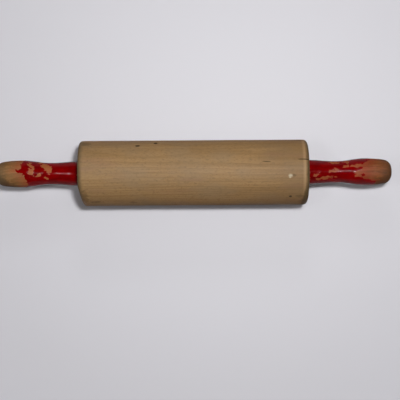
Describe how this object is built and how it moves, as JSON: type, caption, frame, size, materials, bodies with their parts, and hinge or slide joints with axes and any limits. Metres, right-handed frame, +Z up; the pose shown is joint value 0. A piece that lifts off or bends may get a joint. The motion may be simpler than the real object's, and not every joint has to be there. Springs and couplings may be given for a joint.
{
  "type": "rolling pin",
  "caption": "Wooden rolling pin with a round-rimmed barrel on a steel axle and revolving, waisted, lacquered handles.",
  "frame": {"origin": "under the middle of the barrel, on the surface that the barrel lies on", "axes": "+X along the pin's axis to the right-hand handle, +Z up, +Y away from the person rolling"},
  "size_m": [0.4366, 0.072, 0.072],
  "materials": {
    "barrel_beech": "bare beech, worn smooth, with fine straight grain along the barrel and darkened rims",
    "handle_beech": "bare beech, rubbed and grimy where the lacquer has worn away",
    "red_lacquer": "beech under glossy red lacquer that is chipped and worn through in patches",
    "axle_steel": "bright drawn steel, dulled by handling",
    "washer_steel": "plain steel, dulled",
    "nut_steel": "zinc plated steel, dulled",
    "bush_nylon": "natural nylon, yellowed"
  },
  "bodies": {
    "barrel_body": {"barrel": "barrel_beech", "left_bearing_bush": "bush_nylon", "right_bearing_bush": "bush_nylon"},
    "axle_body": {"axle_rod": "axle_steel", "left_thrust_washer": "washer_steel", "right_thrust_washer": "washer_steel", "left_clamp_washer": "washer_steel", "right_clamp_washer": "washer_steel", "left_axle_nut": "nut_steel", "right_axle_nut": "nut_steel"},
    "left_handle_body": {"left_handle": "red_lacquer", "left_end_plug": "handle_beech"},
    "right_handle_body": {"right_handle": "red_lacquer", "right_end_plug": "handle_beech"}
  },
  "joints": [
    {"name": "axle_spin", "type": "hinge", "parent": "barrel_body", "child": "axle_body", "pos_m": [0, 0, 0.036], "axis": [1, 0, 0], "continuous": true},
    {"name": "left_handle_spin", "type": "hinge", "parent": "axle_body", "child": "left_handle_body", "pos_m": [-0.1723, 0, 0.036], "axis": [1, 0, 0], "continuous": true},
    {"name": "right_handle_spin", "type": "hinge", "parent": "axle_body", "child": "right_handle_body", "pos_m": [0.1723, 0, 0.036], "axis": [1, 0, 0], "continuous": true}
  ]
}
